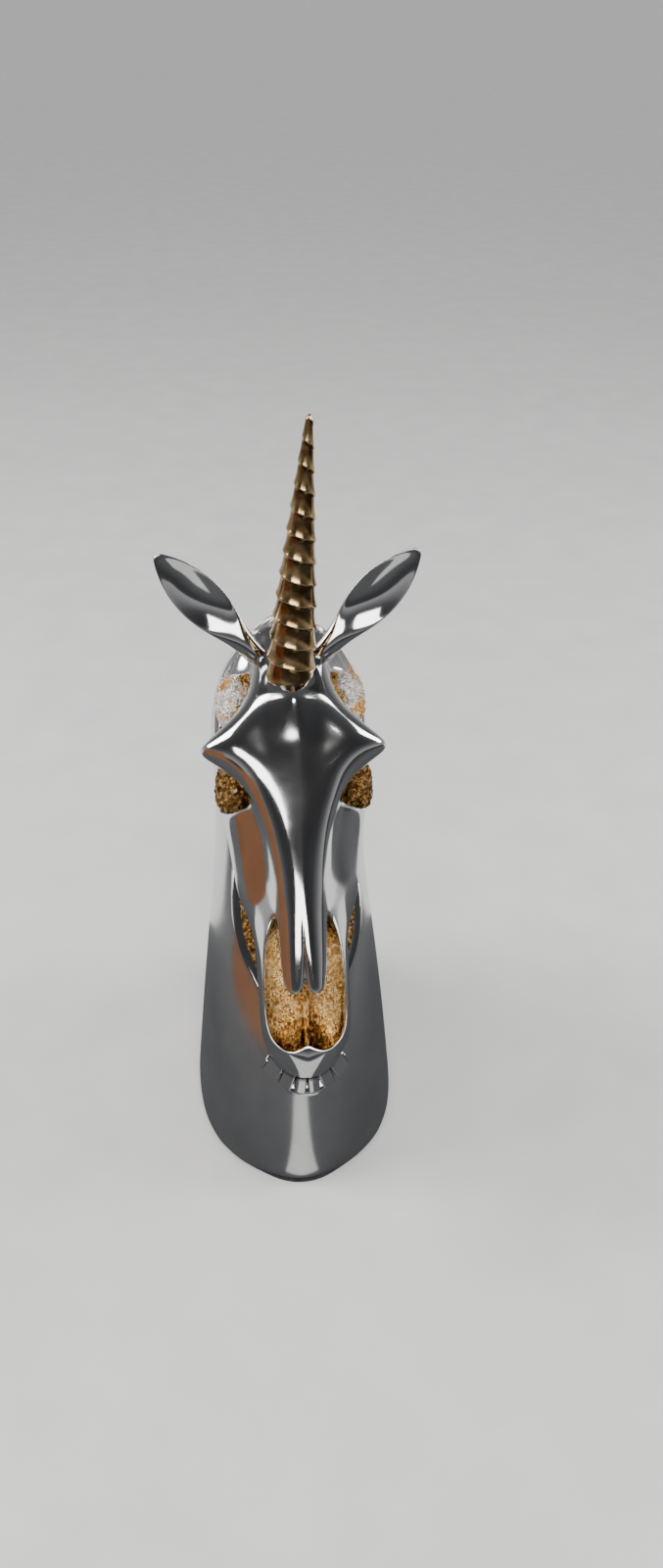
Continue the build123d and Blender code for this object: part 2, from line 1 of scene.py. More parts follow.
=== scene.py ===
from math import cos, pi, radians, sin, tan
import bpy
from mathutils import Euler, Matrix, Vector


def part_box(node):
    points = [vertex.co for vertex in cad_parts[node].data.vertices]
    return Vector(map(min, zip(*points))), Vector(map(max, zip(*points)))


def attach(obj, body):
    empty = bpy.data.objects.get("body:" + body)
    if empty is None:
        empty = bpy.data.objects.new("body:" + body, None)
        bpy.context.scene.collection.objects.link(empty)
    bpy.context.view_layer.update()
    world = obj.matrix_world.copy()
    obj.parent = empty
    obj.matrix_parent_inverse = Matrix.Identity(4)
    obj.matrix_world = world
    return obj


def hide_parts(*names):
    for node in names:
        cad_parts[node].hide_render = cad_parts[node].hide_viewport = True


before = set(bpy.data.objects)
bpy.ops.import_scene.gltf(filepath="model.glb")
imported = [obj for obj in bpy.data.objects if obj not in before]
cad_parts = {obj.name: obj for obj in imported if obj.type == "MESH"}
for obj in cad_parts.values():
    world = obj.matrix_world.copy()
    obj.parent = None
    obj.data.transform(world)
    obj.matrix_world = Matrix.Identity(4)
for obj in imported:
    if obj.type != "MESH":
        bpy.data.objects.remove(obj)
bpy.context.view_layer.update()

# Neck shell: a thin cast neck that flares to a rounded keel at the front of its foot.
# It is polished all over and plated to a soft mirror, and the head seats on its sloping
# joint face above the throat.
NECK_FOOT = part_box("neck_shell")[0][2]
NECK_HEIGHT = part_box("neck_shell")[1][2]
FOOT_LENGTH = 0.136
FOOT_HALF_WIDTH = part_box("neck_shell")[1][0]
FOOT_ROUNDING_SHARES = ((0.0, 0.972), (0.002, 0.992), (0.008, 1.0))
NECK_SECTION_SHARES = (
    (0.0, -0.5, 0.5, 1.0),
    (0.16, -0.455, 0.515, 0.92),
    (0.32, -0.35, 0.52, 0.83),
    (0.48, -0.17, 0.505, 0.73),
    (0.63, -0.095, 0.465, 0.69),
    (0.80, -0.07, 0.375, 0.70),
    (0.92, -0.01, 0.27, 0.54),
    (1.0, 0.08, 0.185, 0.22),
)
KEEL_SHARES = (
    (0.0, 0.0, 0.0),
    (0.14, 0.045, 0.38),
    (0.29, 0.14, 0.72),
    (0.40, 0.29, 0.94),
    (0.5, 0.47, 1.0),
)
KEEL_WIDEST_SHARE = 0.47
NECK_ROWS = 16
NECK_START_SHARE = 0.04
NECK_SATIN = 0.17
THROAT_LOW = 0.104
THROAT_HIGH = 0.122
FRONT_STEP_SHARES = (0.0, 0.3, 0.6, 0.85, 0.97, 1.0)
BACK_STEP_SHARES = (0.03, 0.1, 0.2, 0.32, 0.44, 0.56, 0.68, 0.79, 0.9, 1.0)
HORN_SEAT = Vector((0, 0, 0.208))
JOINT_SETBACK = 0.019
JOINT_LEAN = radians(17)
JOINT_SEARCH_STEPS = 30


def smooth_values(table, key):
    """The values of a table between its rows, on a smooth curve. Rows open with their key."""
    last = len(table) - 1
    step = max(i for i in range(last) if i == 0 or table[i][0] <= key)
    before, start, end, after = (table[min(max(step + k, 0), last)] for k in (-1, 0, 1, 2))
    span = end[0] - start[0]
    t = min(max((key - start[0]) / span, 0), 1)
    values = []
    for b, s, e, a in zip(before[1:], start[1:], end[1:], after[1:]):
        slope_in = (e - b) / (end[0] - before[0]) * span
        slope_out = (a - s) / (after[0] - start[0]) * span
        rise = t * t * (3 - 2 * t)
        values.append(s + (e - s) * rise + slope_in * t * (1 - t) ** 2 - slope_out * t * t * (1 - t))
    return values


def close_ends():
    """Joins points that meet on the active piece, fills its open ends and turns its faces outward."""
    bpy.ops.object.mode_set(mode="EDIT")
    bpy.ops.mesh.select_mode(type="VERT")
    bpy.ops.mesh.select_all(action="SELECT")
    bpy.ops.mesh.remove_doubles(threshold=1e-6)
    bpy.ops.mesh.select_all(action="DESELECT")
    bpy.ops.mesh.select_non_manifold()
    bpy.ops.mesh.fill_holes(sides=0)
    bpy.ops.mesh.select_all(action="SELECT")
    bpy.ops.mesh.normals_make_consistent(inside=False)
    bpy.ops.object.mode_set(mode="OBJECT")


def skin(name, rows, closed=False):
    """A grid primitive with its points moved to the rows of places.
    Closed rows are rings, and their ends are filled."""
    bpy.ops.object.select_all(action="DESELECT")
    bpy.ops.mesh.primitive_grid_add(x_subdivisions=len(rows[0]) - 1, y_subdivisions=len(rows) - 1)
    piece = bpy.context.object
    piece.name = name
    places = [place for row in rows for place in row]
    piece.data.vertices.foreach_set("co", [value for place in places for value in place])
    piece.data.update()
    if closed:
        close_ends()
    return piece


def apply_modifier(piece, kind, **settings):
    """Adds a modifier to the piece and applies it."""
    bpy.ops.object.select_all(action="DESELECT")
    piece.select_set(True)
    bpy.context.view_layer.objects.active = piece
    modifier = piece.modifiers.new(kind.title(), kind)
    for name, value in settings.items():
        setattr(modifier, name, value)
    bpy.ops.object.modifier_apply(modifier=modifier.name)


def subdivide(piece, levels):
    """Rounds the piece's cage by subdivision and shades it smooth."""
    apply_modifier(piece, "SUBSURF", levels=levels, render_levels=levels)
    bpy.ops.object.shade_smooth()


class Shade:
    """A socket of a material. Sums on it add Math nodes, and add() puts in any other node."""

    def __init__(self, tree, socket=None):
        self.tree = tree
        self.socket = socket

    def fill(self, node, inputs):
        """Sets the inputs of a node, by a link for each Shade and by value for the rest."""
        for name, value in inputs.items():
            if isinstance(value, Shade):
                self.tree.links.new(value.socket, node.inputs[name])
            else:
                node.inputs[name].default_value = value

    def add(self, kind, settings, inputs, output=0):
        """A new node of a kind with its settings and inputs, as the Shade of one output."""
        node = self.tree.nodes.new("ShaderNode" + kind)
        for name, value in settings.items():
            if name == "stops":
                stops = node.color_ramp.elements
                for element, (place, colour) in zip((stops[0], stops[1]), (value[0], value[-1])):
                    element.position = place
                    element.color = colour
                for place, colour in value[1:-1]:
                    stops.new(place).color = colour
            else:
                setattr(node, name, value)
        self.fill(node, inputs)
        return Shade(self.tree, node.outputs[output])

    def maths(self, operation, first, second):
        """A Math node on two values."""
        return self.add("Math", {"operation": operation}, {0: first, 1: second})

    def __add__(self, other):
        return self.maths("ADD", self, other)

    def __sub__(self, other):
        return self.maths("SUBTRACT", self, other)

    def __rsub__(self, other):
        return self.maths("SUBTRACT", other, self)

    def __mul__(self, other):
        return self.maths("MULTIPLY", self, other)

    __radd__ = __add__
    __rmul__ = __mul__


def new_material(name):
    """A material, its surface node, and the place on the piece that its patterns read."""
    material = bpy.data.materials.new(name)
    material.use_nodes = True
    tree = material.node_tree
    return material, tree.nodes["Principled BSDF"], Shade(tree).add("TexCoord", {}, {}, "Object")


def mirror_plate(name, satin):
    """Bright plating over a polished casting, with faint ripples and hazy patches.
    Satin is the least roughness."""
    material, surface, place = new_material(name)
    haze = place.add("TexNoise", {}, {"Vector": place, "Scale": 55, "Detail": 4, "Roughness": 0.6})
    ripple = place.add("TexNoise", {}, {"Vector": place, "Scale": 90, "Detail": 1})
    tones = ((0.3, (0.60, 0.605, 0.615, 1)), (0.7, (0.70, 0.70, 0.705, 1)))
    tint = place.add("ValToRGB", {"stops": tones}, {"Fac": haze})
    bump = place.add("Bump", {}, {"Height": ripple, "Strength": 0.05, "Distance": 0.001})
    roughness = satin + haze * 0.06
    place.fill(surface, {"Base Color": tint, "Metallic": 1.0, "Roughness": roughness, "Normal": bump})
    return material


def dress(piece, material, slot, *nodes):
    """Gives a piece its material, lets it ride on the body and stand for its CAD nodes. The slot is not
    used.
    """
    piece.data.materials.clear()
    piece.data.materials.append(material)
    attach(piece, "root")
    if nodes:
        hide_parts(*nodes)


def joint_depth(height):
    """How far back the joint face between neck and head lies at a height."""
    return JOINT_SETBACK - (HORN_SEAT.z - height) * tan(JOINT_LEAN)


def neck_outline(share):
    """Depth and width shares of half a neck section, from the keel at 0 to the back at 1."""
    if share < 0.5:
        return smooth_values(KEEL_SHARES, share)
    turn = (share - 0.5) * pi
    return KEEL_WIDEST_SHARE + (1 - KEEL_WIDEST_SHARE) * sin(turn), cos(turn)


def neck_ring(height, scale=1.0):
    """One ring of the neck. Above the throat its front lies flat on the joint face."""
    front, back, width = smooth_values(NECK_SECTION_SHARES, height / NECK_HEIGHT)
    low, high = 0.0, 1.0
    for halving in range(JOINT_SEARCH_STEPS):
        middle = (low + high) / 2
        depth = (front + (back - front) * neck_outline(middle)[0]) * FOOT_LENGTH
        low, high = (middle, high) if depth < joint_depth(height) else (low, middle)
    seat = min(max((height - THROAT_LOW) / (THROAT_HIGH - THROAT_LOW), 0), 1)
    seat = seat * seat * (3 - 2 * seat)
    edge_depth, edge_reach = neck_outline(low)
    half = []
    for share in FRONT_STEP_SHARES:
        depth, reach = neck_outline(share * low)
        half.append((depth + (edge_depth - depth) * seat, reach + (edge_reach * share - reach) * seat))
    half += [neck_outline(low + (1 - low) * share) for share in BACK_STEP_SHARES]
    ring = []
    for depth, reach in half + [(depth, -reach) for depth, reach in half[-2::-1]]:
        y = (front + (back - front) * depth) * FOOT_LENGTH
        ring.append((reach * width * FOOT_HALF_WIDTH * scale, y * scale, height))
    return ring


neck_rows = [neck_ring(NECK_FOOT + rise * NECK_HEIGHT, scale) for rise, scale in FOOT_ROUNDING_SHARES]
neck_start = NECK_FOOT + NECK_START_SHARE * NECK_HEIGHT
for row in range(NECK_ROWS):
    neck_rows.append(neck_ring(neck_start + (NECK_HEIGHT - neck_start) * row / (NECK_ROWS - 1)))
neck = skin("neck", neck_rows, closed=True)
subdivide(neck, 3)
dress(neck, mirror_plate("neck_plate", NECK_SATIN), "mirror_plate", "neck_shell")

# Skull: the bare upper skull of a horse, cast in one piece and plated like the neck.
# A broad forehead ends in two brow points over the eye sockets, and the nasal bones
# run out over the open nose above the muzzle. Hollows are left open for the gold linings.
FACE_SLOPE = radians(44)
FACE_AXIS = Vector((0, -cos(FACE_SLOPE), -sin(FACE_SLOPE)))
FACE_NORMAL = Vector((0, -sin(FACE_SLOPE), cos(FACE_SLOPE)))
MILLIMETRE = 0.001
# Each row is millimetres down the face from the horn, then points from the middle line round one side,
# each as millimetres across, above the face and, where it leaves its row, further down the face.
SKULL_ROWS = (
    (-20, (0, -7.8), (1.2, -7.8), (3.2, -7.9), (6.2, -8.3), (8.4, -8.8), (9.4, -9.1), (9.9, -9.3),
     (10.2, -9.45), (10.4, -9.55), (10.4, -9.62), (10.2, -9.7)),
    (-12, (0, -4.8), (1.6, -4.9), (4.4, -5.3), (8.2, -6.2), (11, -7.6), (12.8, -9.2), (14.8, -10.8),
     (16.6, -12.2), (17.6, -13.2), (17.8, -13.8), (17.4, -14.1)),
    (-2, (0, 0.8), (1.8, 0.7), (5, 0), (9.6, -1.6), (12.8, -4.4), (14.2, -8), (17.4, -11),
     (21.4, -14.6), (23.4, -17.2), (23.6, -18.9), (23, -19.7)),
    (7, (0, 3.8), (2, 3.6), (5.8, 2.6), (11.2, 1), (15, -2.4), (16.2, -7), (20.2, -11.2),
     (24.8, -16.4), (26.4, -20.4), (25.8, -23.4), (24.8, -24.7)),
    (11, (0, 7.2), (2.2, 6.9), (6.6, 5), (12.8, 2.2), (17.2, -1.7), (18.4, -6.5),
     (22.2, -11.7, 2.2), (25.8, -17.4, 2.2), (27, -21.8), (26, -25.4), (24.8, -27)),
    (15.5, (0, 7.2), (2.6, 6.8), (7.6, 4.6), (14.6, 2.8), (19.6, -0.8), (20.8, -6),
     (24.4, -12.2, 4.5), (26.8, -18.5, 4.5), (27.4, -23.2), (26.2, -27.4), (24.7, -29.4)),
    (24, (0, 6), (3, 5.6), (9.6, 3.2), (20.2, 4.2), (29.4, -1), (29.6, -7), (27.6, -12.6, 2),
     (28.2, -18.8, 2), (28, -25), (26.4, -31), (24.4, -34.1)),
    (29, (0, 4.8), (3.2, 4.6), (10.4, 2.8), (22.4, 4), (37, -3.4), (36, -9), (28.8, -13),
     (28.6, -19.4), (28, -26), (26, -33), (24, -36.9)),
    (34, (0, 4.4), (3, 4.3), (9, 3), (18.8, 3), (28.4, -2.4), (27.8, -7.6), (27.6, -13, -2),
     (28.8, -20, -2), (27.6, -27), (25.4, -34.6), (23.2, -39.4)),
    (41, (0, 3.6), (2.4, 3.5), (7.2, 2.8), (14, 1.4), (18.8, -2.2), (19.4, -7), (24.4, -12.6),
     (28.6, -20.4), (27, -27.6), (24.2, -35), (22.2, -39.8)),
    (50, (0, 2.6), (2, 2.5), (5.8, 2), (10.8, 0.4), (14.2, -2.2), (15.2, -6.4), (21.6, -12),
     (27.2, -20.4), (25.8, -27.6), (22.6, -34.6), (20.6, -38.5)),
    (60, (0, 1.7), (1.6, 1.6), (4.9, 0.9), (8.6, -0.8), (11, -3.2), (12.2, -7), (18.6, -13),
     (25.6, -22), (24.4, -27.6), (20.6, -34), (18.6, -37)),
    (72, (0, 1.2), (1.4, 1.1), (4.3, 0.2), (7.5, -1.8), (9.6, -4.4), (10.8, -8), (16.6, -14),
     (24.2, -22.6), (22.8, -27.8), (18.4, -32.8), (16.4, -35.2)),
    (81, (0, 0.5), (1.3, 0.4), (4.1, -0.5), (7.1, -2.4), (9.1, -4.9), (10.2, -8.2), (15, -13.6),
     (22.8, -21.6), (21, -26.8), (16.8, -31.8), (14.8, -33.9)),
    (88, (0, -0.4), (1.2, -0.3), (3.9, -1.1), (6.8, -3), (8.7, -5.4), (10.8, -8.2), (14.2, -12.6),
     (19.6, -21), (18, -26), (14.8, -30.8), (13.2, -32.9)),
    (96, (0, -2.2), (0.6, -1.4), (3.5, -1.9), (6.4, -3.7), (8.3, -6), (13.6, -8.4), (15.5, -11.8),
     (17.4, -20), (16.4, -25), (14, -29.4), (12.4, -31.7)),
    (105, (0, -4), (0.6, -2.7), (3.2, -2.9), (6.2, -4.5), (8, -6.6), (14.4, -8.6), (16.1, -11.6),
     (16.7, -19.2), (15.7, -24.4), (13.6, -28.6), (12.1, -30.4)),
    (114, (0, -6.6, -3), (0.6, -5.2, -0.4), (2.6, -4.8, 1.8), (5.5, -5.6, 1.6), (7.3, -7.4, -1),
     (14.5, -8.4), (16.2, -11.6), (16.4, -19), (15.4, -23.6), (13.4, -27.4), (11.9, -29)),
    (124, (0, -8.6), (1.2, -8.6), (4.8, -8.6), (9.4, -8.5), (13, -8.2), (14.5, -8.2), (16.1, -11.8),
     (16.2, -18.8), (15.3, -23), (13.4, -26), (11.9, -27.5)),
    (135, (0, -8.9, -1.2), (1.2, -8.8, -0.6), (4.8, -8.5, 1.2), (8.8, -8.5, 0), (11.4, -8.3, -2.4),
     (13.2, -8.4, -5), (15.3, -12.2, -5), (15.7, -18.6, -4.5), (15, -22.2, -4.5),
     (13.2, -25.2, -4.5), (11.9, -26.5, -4.5)),
    (140, (0, -10.6), (1.2, -10.6), (4.6, -10.4, -0.4), (8.6, -11, -2), (11.2, -12, -4),
     (13, -13.6, -5.5), (14.3, -16.2, -6.8), (14.6, -19.6, -7), (14, -22.4, -7), (12.7, -24.8, -7),
     (11.6, -25.9, -7)),
    (143.6, (0, -15), (1.2, -15), (4.5, -15.1, -0.6), (8, -15.8, -2.2), (10.3, -16.8, -4.2),
     (11.9, -18.2, -5.8), (13, -19.8, -7.2), (13.3, -21.6, -7.8), (12.9, -23, -7.8),
     (12, -24.4, -7.8), (11, -25.4, -7.8)),
    (145.6, (0, -20), (1.2, -20), (4.3, -20.2, -0.6), (7.4, -20.6, -2.2), (9.4, -21.2, -4),
     (10.8, -22, -5.6), (11.6, -23, -6.8), (11.8, -23.8, -7.4), (11.5, -24.6, -7.4),
     (10.9, -25.1, -7.4), (10.1, -25.4, -7.4)),
    (144.6, (0, -23.8), (1.2, -23.8), (4, -23.9, -0.6), (6.8, -24.2, -2), (8.5, -24.5, -3.6),
     (9.6, -24.8, -5), (10.1, -25.1, -6), (10.2, -25.3, -6.4), (10, -25.5, -6.4),
     (9.5, -25.6, -6.4), (8.9, -25.6, -6.4)),
)
UNDERSIDE_SHARES = (0.93, 0.45, 0.0)
SEAT_SINK = 1.6
SEAT_END = 38
HEAD_SATIN = 0.06
TEMPLE_CELLS = ((2, 5, 5, 8),)
EYE_CELLS = ((8, 10, 5, 8),)
NOSE_CELLS = ((14, 17, 4, 5), (17, 19, 0, 5))
SOCKET_INSETS = ((0.0009, -0.0005), (0.0008, -0.004))
NOSE_INSETS = ((0.0005, -0.0003), (0.0004, -0.003), (0.0003, -0.006))


def head_point(across, along, above):
    """A place on the head, in millimetres across it, down the face from the horn and above the face."""
    return HORN_SEAT + (Vector((across, 0, 0)) + along * FACE_AXIS + above * FACE_NORMAL) * MILLIMETRE


skull_rows = []
for along, *points in SKULL_ROWS:
    places = [(x, along + (shift[0] if shift else 0), v) for x, v, *shift in points]
    edge_x, edge_u, edge_v = places[-1]
    under = edge_v - SEAT_SINK * (along < SEAT_END)
    places += [(edge_x * share, edge_u, under) for share in UNDERSIDE_SHARES]
    skull_rows.append([head_point(*place) for place in places])
skull = skin("skull_bone", skull_rows)
columns = len(skull_rows[0]) - 1
half_faces = len(skull.data.polygons)


def open_cells(piece, cells, insets):
    """Sinks the cells of both halves as one hollow with a rounded rim."""
    bpy.ops.object.mode_set(mode="EDIT")
    bpy.ops.mesh.select_mode(type="FACE")
    bpy.ops.mesh.select_all(action="DESELECT")
    bpy.ops.object.mode_set(mode="OBJECT")
    for first_row, last_row, first_column, last_column in cells:
        for row in range(first_row, last_row):
            for column in range(first_column, last_column):
                for half in (0, half_faces):
                    piece.data.polygons[half + row * columns + column].select = True
    bpy.ops.object.mode_set(mode="EDIT")
    for thickness, depth in insets:
        bpy.ops.mesh.inset(thickness=thickness, depth=depth, use_even_offset=True)
    bpy.ops.object.mode_set(mode="OBJECT")


apply_modifier(skull, "MIRROR", use_axis=(True, False, False), merge_threshold=1e-5)
close_ends()
open_cells(skull, NOSE_CELLS, NOSE_INSETS)
open_cells(skull, TEMPLE_CELLS, SOCKET_INSETS)
open_cells(skull, EYE_CELLS, SOCKET_INSETS)
subdivide(skull, 3)
head_plate = mirror_plate("head_plate", HEAD_SATIN)
dress(skull, head_plate, "mirror_plate", "skull")

# Lower jaw: the closed jaw under the muzzle, a plain tapering bar that is cast by itself
# and plated like the skull. It is doweled to the neck, and its rounded chin comes out just
# below the front teeth.
# Each row is millimetres down the face, the half width and height of the top edge, the half width
# and height of the side, and the height of the bottom.
JAW_ROWS = (
    (44, 20.5, -43.1, 19.8, -44.2, -45.0),
    (50, 22.0, -42.6, 20.6, -46.0, -48.3),
    (62, 24.0, -41.5, 20.4, -49.5, -54.6),
    (75, 25.4, -40.4, 20.0, -50.0, -57.0),
    (89, 25.2, -39.2, 18.6, -48.5, -54.5),
    (97, 23.8, -38.5, 17.0, -46.8, -52.4),
    (104, 21.4, -37.8, 15.2, -45.4, -50.6),
    (112, 17.6, -37.1, 12.8, -44.0, -49.0),
    (122, 13.2, -36.3, 10.4, -42.6, -47.2),
    (134, 11.6, -35.2, 9.4, -41.0, -45.2),
    (142, 11.0, -34.7, 9.0, -40.0, -43.4),
    (148, 9.2, -34.5, 7.6, -38.8, -41.6),
    (151, 6.8, -34.8, 5.6, -37.8, -40.2),
    (152.6, 3.4, -35.6, 2.8, -37.2, -39.0),
)
JAW_EDGE_DROP = 1
jaw_rows = []
for along, edge, top, side, middle, bottom in JAW_ROWS:
    half = [(0, top), (edge * 0.6, top), (edge * 0.93, top), (edge, top - JAW_EDGE_DROP)]
    half += [(edge * 0.98, (top + middle) / 2), (side, middle), (side * 0.55, (middle + 2 * bottom) / 3)]
    half += [(0, bottom)]
    ring = half + [(-x, v) for x, v in half[-2::-1]]
    jaw_rows.append([head_point(x, along, v) for x, v in ring])
jaw = skin("jaw_bone", jaw_rows, closed=True)
subdivide(jaw, 2)
dress(jaw, head_plate, "mirror_plate", "lower_jaw")

# Ears: two leaf-shaped ears on round stems, hollowed at the front and turned a little outward.
# Each is cast by itself, plated, and set on a dowel in the poll.
EAR_ROOT = (13, -8, -6)
EAR_SPREAD = radians(41)
EAR_LEAN = radians(2)
EAR_LENGTH = 0.0515
# Each row is a share of the length, the half width and half thickness in millimetres,
# and how far the front is hollowed.
EAR_ROWS = (
    (-0.10, 4.3, 4.3, 0.0),
    (0.04, 4.2, 4.2, 0.0),
    (0.16, 4.5, 4.2, 0.1),
    (0.28, 6.2, 4.4, 0.45),
    (0.42, 8.0, 4.6, 0.75),
    (0.56, 8.5, 4.4, 0.8),
    (0.70, 7.7, 3.8, 0.75),
    (0.83, 5.6, 2.8, 0.7),
    (0.93, 3.0, 1.8, 0.5),
    (0.985, 1.2, 0.9, 0.2),
)
EAR_SIDES = 20
EAR_HOLLOW_DEPTH = 0.9
EAR_TURN_OUT = 0.12
EAR_TURN_UP = 0.5
for side, label in ((-1, "left"), (1, "right")):
    root = head_point(side * EAR_ROOT[0], EAR_ROOT[1], EAR_ROOT[2])
    upright = cos(EAR_SPREAD)
    axis = Vector((side * sin(EAR_SPREAD), upright * sin(EAR_LEAN), upright * cos(EAR_LEAN)))
    front = Vector((side * EAR_TURN_OUT, -1, EAR_TURN_UP))
    front = (front - front.dot(axis) * axis).normalized()
    across = front.cross(axis)
    rows = []
    for share, width, thickness, hollow in EAR_ROWS:
        ring = []
        for step in range(EAR_SIDES + 1):
            turn = 2 * pi * step / EAR_SIDES
            rise = sin(turn)
            if rise > 0:
                rise = rise * (1 - hollow) - EAR_HOLLOW_DEPTH * hollow * rise * rise
            place = root + axis * share * EAR_LENGTH
            ring.append(place + (across * width * cos(turn) + front * thickness * rise) * MILLIMETRE)
        rows.append(ring)
    ear = skin("ear_leaf_" + label, rows, closed=True)
    subdivide(ear, 2)
    dress(ear, head_plate, "mirror_plate", "ear_" + label)

# Horn: a tapering spiral horn, cast in bronze and plated antique gold. Each turn flares to a lip at its
# lower edge and tucks under the lip of the turn above. A steel stud holds it in the forehead.
HORN_LENGTH = 0.0895
HORN_SUNK = 0.010
HORN_LEAN_BACK = radians(5)
HORN_LEAN_SIDE = radians(4.5)
HORN_BASE_RADIUS = 0.0091
HORN_TIP_RADIUS = 0.0012
HORN_TAPER_POWER = 1.22
HORN_TIP_ROUNDING = 60
HORN_TURNS = 11.5
HORN_FLARE_SHARE = 0.155
HORN_FLARE_POWER = 3
HORN_FLARE_GAIN = 0.3
HORN_LIP_SHARE = 0.16
HORN_LIP_POWER = 0.7
HORN_MEAN_TUCK = 0.4
HORN_TUCK_SHADE = 0.22
HORN_UNDERSIDE_SHADE = 0.3
HORN_ROWS = 300
HORN_SIDES = 64
axis = Vector((sin(HORN_LEAN_SIDE), sin(HORN_LEAN_BACK), cos(HORN_LEAN_BACK))).normalized()
sideways = Vector((0, 1, 0)).cross(axis).normalized()
forward = axis.cross(sideways)
horn_rows = []
ridge_shade_values = []
for row in range(HORN_ROWS + 1):
    share = row / HORN_ROWS
    height = -HORN_SUNK + share * (HORN_LENGTH + HORN_SUNK)
    up = max(height / HORN_LENGTH, 0)
    radius = HORN_BASE_RADIUS + (HORN_TIP_RADIUS - HORN_BASE_RADIUS) * up ** HORN_TAPER_POWER
    radius *= min(1, ((1 - share) * HORN_TIP_ROUNDING) ** 0.5)
    ring = []
    for step in range(HORN_SIDES + 1):
        turn = 2 * pi * step / HORN_SIDES
        rise = (height / HORN_LENGTH * HORN_TURNS + turn / (2 * pi)) % 1
        tuck = max(1 - (1 - rise) ** HORN_FLARE_POWER, 1 - (rise / HORN_LIP_SHARE) ** HORN_LIP_POWER)
        flare = HORN_FLARE_SHARE * (1 + HORN_FLARE_GAIN * up)
        reach = radius * (1 - flare * (tuck - HORN_MEAN_TUCK))
        ring.append(HORN_SEAT + axis * height + (sideways * cos(turn) + forward * sin(turn)) * reach)
        if step < HORN_SIDES:
            # Painted shade: the value darkens where each turn tucks under the lip above and is darkest on
            # its underside.
            underside = rise <= HORN_LIP_SHARE * 0.3
            ridge_shade_values.append(HORN_UNDERSIDE_SHADE if underside else 1 - HORN_TUCK_SHADE * tuck)
    horn_rows.append(ring)
horn = skin("horn_spiral", horn_rows, closed=True)
bpy.ops.object.shade_smooth()
ridge = horn.data.attributes.new("ridge", "FLOAT", "POINT")
ridge.data.foreach_set("value", (ridge_shade_values + [1.0] * len(ridge.data))[:len(ridge.data)])


def horn_bronze():
    """Antique gold with painted shade: bright on the lip of each turn, darker where it tucks under the lip
    above, and dark on its underside.
    """
    material, surface, place = new_material("horn_bronze")
    height = place.add("Attribute", {"attribute_name": "ridge"}, {}, "Fac")
    stain = place.add("TexNoise", {}, {"Vector": place, "Scale": 160, "Detail": 5, "Roughness": 0.6})
    # The value brings painted shade under the lips, and the noise adds real stains.
    shade_and_stain = height + (stain - 0.5) * 0.5
    tones = (
        (0.35, (0.012, 0.007, 0.004, 1)),
        (0.75, (0.15, 0.084, 0.034, 1)),
        (1.0, (0.74, 0.53, 0.27, 1)),
    )
    colour = place.add("ValToRGB", {"stops": tones}, {"Fac": shade_and_stain})
    bump = place.add("Bump", {}, {"Height": stain, "Strength": 0.12, "Distance": 0.0006})
    roughness = 0.30 - height * 0.14
    place.fill(surface, {"Base Color": colour, "Metallic": 1.0, "Roughness": roughness, "Normal": bump})
    return material


dress(horn, horn_bronze(), "horn_bronze", "horn")

# Gold linings: the nose, both eye sockets and both temples are filled with a coarse gilt texture,
# like crumbled leaf over modelling paste. Each is a lumpy cushion that bulges from its hollow,
# and at the temples the gold is rubbed through to silver.
GRAIN_SIZE = 0.0014
GRAIN_HEIGHT = 0.0018
FINE_GRAIN_HEIGHT = 0.0008
# Each set of stops runs from painted shade, in dark brown between the grains, up to the gold on their tops.
# The cream stop of the nose is a painted highlight, and the socket stops are darker all over, painted shade
# for the sunken eye sockets and the mouth.
BRIGHT_STOPS = (
    (0.30, (0.10, 0.035, 0.008, 1)),
    (0.44, (0.62, 0.29, 0.06, 1)),
    (0.64, (1.0, 0.68, 0.27, 1)),
)
CREAM_GLINT_STOPS = (
    (0.30, (0.10, 0.035, 0.008, 1)),
    (0.42, (0.62, 0.29, 0.06, 1)),
    (0.52, (1.0, 0.66, 0.25, 1)),
    (0.66, (1.0, 0.90, 0.66, 1)),
)
SOCKET_SHADE_STOPS = (
    (0.40, (0.02, 0.009, 0.003, 1)),
    (0.53, (0.30, 0.15, 0.04, 1)),
    (0.68, (0.95, 0.70, 0.34, 1)),
)
SILVER = (0.78, 0.76, 0.72, 1)
RUBBED_BLEND = 0.12
# Painted shade at both ends of the nose lining: at its upper end by the nasal bones and at its lower front
# end.
END_SHADE_BANDS = ((0.098, 0.086), (0.122, 0.138))
END_SHADE_RAGGED = 0.035
END_SHADE_STRENGTH = 0.25
# Each cushion is its centre, its width, length and height in millimetres, the angle that it is turned
# outward by, its squareness, where 2 is an egg and more fills the corners, and the height of its lumps.
EYE_CUSHION = ((24, 40.5, -16), (13.5, 18, 3.6), radians(58), 2.6, GRAIN_HEIGHT)
TEMPLE_CUSHION = ((21.6, 8.5, -15), (13, 21, 5.5), radians(50), 2.3, GRAIN_HEIGHT)
NOSE_CUSHION = ((6.6, 112.5, -17), (13.4, 47, 7.2), 0, 2.6, FINE_GRAIN_HEIGHT)
SEPTUM_CUSHION = ((0, 112.5, -17), (2.4, 46, 6.9), 0, 3.2, FINE_GRAIN_HEIGHT)


